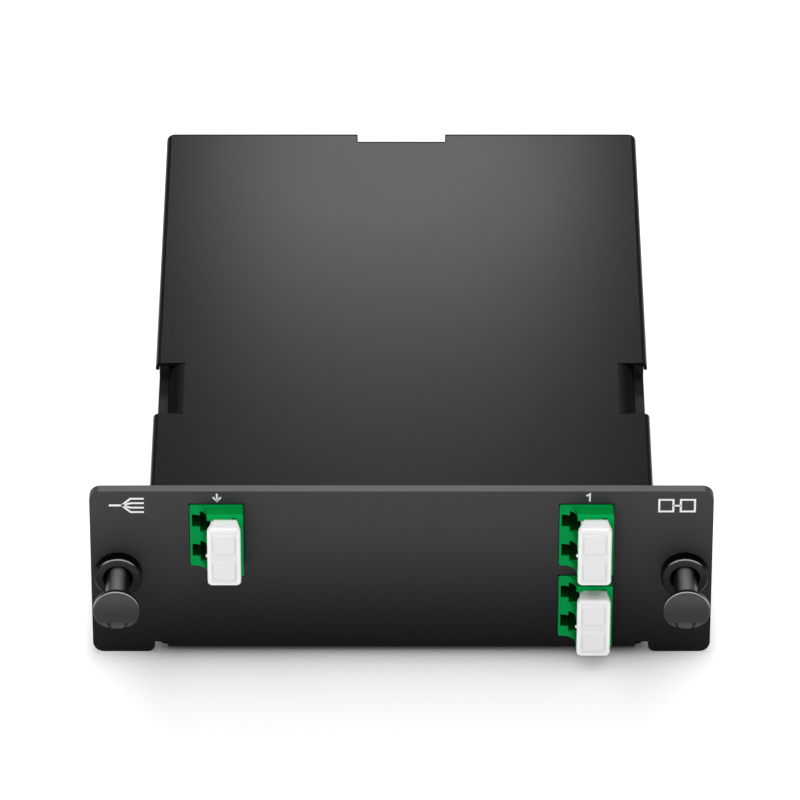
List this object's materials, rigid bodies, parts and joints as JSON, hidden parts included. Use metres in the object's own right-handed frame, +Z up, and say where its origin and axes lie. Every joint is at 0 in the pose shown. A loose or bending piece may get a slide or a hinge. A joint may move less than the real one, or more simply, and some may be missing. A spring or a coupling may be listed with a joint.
{
  "type": "plc fibre splitter",
  "caption": "Fibre splitter cassette: folded metal case behind a rack panel, with duplex fibre adapters, dust caps and push-pull plunger fasteners.",
  "frame": {"origin": "midway between the two plunger fasteners, on the back face of the front panel, where the cassette meets the rack", "axes": "+X to the right seen from the front, +Y into the rack, +Z up"},
  "size_m": [0.109, 0.1318, 0.0344],
  "materials": {
    "panel_black": "satin",
    "cover_black": "satin",
    "screw_steel": "satin",
    "nylon_black": "satin",
    "adapter_green": "satin",
    "clip_steel": "satin",
    "ceramic_white": "polished",
    "cap_white": "satin",
    "end_rubber": "matte",
    "connector_green": "satin",
    "boot_rubber": "matte",
    "jacket_yellow": "satin",
    "tube_steel": "satin",
    "chip_glass": "clear",
    "foam_pad": "matte",
    "guide_black": "matte"
  },
  "bodies": {
    "case": {"adapter_in": "adapter_green", "adapter_out_lower": "adapter_green", "adapter_out_upper": "adapter_green", "boot_in": "boot_rubber", "boot_out_1": "boot_rubber", "boot_out_2": "boot_rubber", "boot_out_3": "boot_rubber", "boot_out_4": "boot_rubber", "chassis": "panel_black", "clip_in": "clip_steel", "clip_out_lower": "clip_steel", "clip_out_upper": "clip_steel", "comb_in": "guide_black", "comb_out": "guide_black", "cover": "cover_black", "cover_screws": "screw_steel", "ferrule_in": "ceramic_white", "ferrule_out_1": "ceramic_white", "ferrule_out_2": "ceramic_white", "ferrule_out_3": "ceramic_white", "ferrule_out_4": "ceramic_white", "fibre_in": "jacket_yellow", "fibre_out_1": "jacket_yellow", "fibre_out_2": "jacket_yellow", "fibre_out_3": "jacket_yellow", "fibre_out_4": "jacket_yellow", "grommet_left": "nylon_black", "grommet_right": "nylon_black", "guide_in": "guide_black", "guide_out": "guide_black", "plug_in": "connector_green", "plug_out_1": "connector_green", "plug_out_2": "connector_green", "plug_out_3": "connector_green", "plug_out_4": "connector_green", "sleeve_in_high": "ceramic_white", "sleeve_in_low": "ceramic_white", "sleeve_out_lower_high": "ceramic_white", "sleeve_out_lower_low": "ceramic_white", "sleeve_out_upper_high": "ceramic_white", "sleeve_out_upper_low": "ceramic_white", "splitter_chip": "chip_glass", "splitter_foam": "foam_pad", "splitter_plug_in": "end_rubber", "splitter_plug_out": "end_rubber", "splitter_tube": "tube_steel"},
    "plunger_left": {"plunger_left": "nylon_black"},
    "plunger_right": {"plunger_right": "nylon_black"},
    "dust_cap_in": {"dust_cap_in": "cap_white"},
    "dust_cap_out_lower": {"dust_cap_out_lower": "cap_white"},
    "dust_cap_out_upper": {"dust_cap_out_upper": "cap_white"}
  },
  "joints": [
    {"name": "plunger_left_push", "type": "slide", "parent": "case", "child": "plunger_left", "axis": [0, 1, 0], "range_m": [0, 0.0087]},
    {"name": "plunger_right_push", "type": "slide", "parent": "case", "child": "plunger_right", "axis": [0, 1, 0], "range_m": [0, 0.0087]},
    {"name": "dust_cap_in_pull", "type": "slide", "parent": "case", "child": "dust_cap_in", "axis": [0, -1, 0], "range_m": [0, 0.015]},
    {"name": "dust_cap_out_lower_pull", "type": "slide", "parent": "case", "child": "dust_cap_out_lower", "axis": [0, -1, 0], "range_m": [0, 0.015]},
    {"name": "dust_cap_out_upper_pull", "type": "slide", "parent": "case", "child": "dust_cap_out_upper", "axis": [0, -1, 0], "range_m": [0, 0.015]}
  ]
}
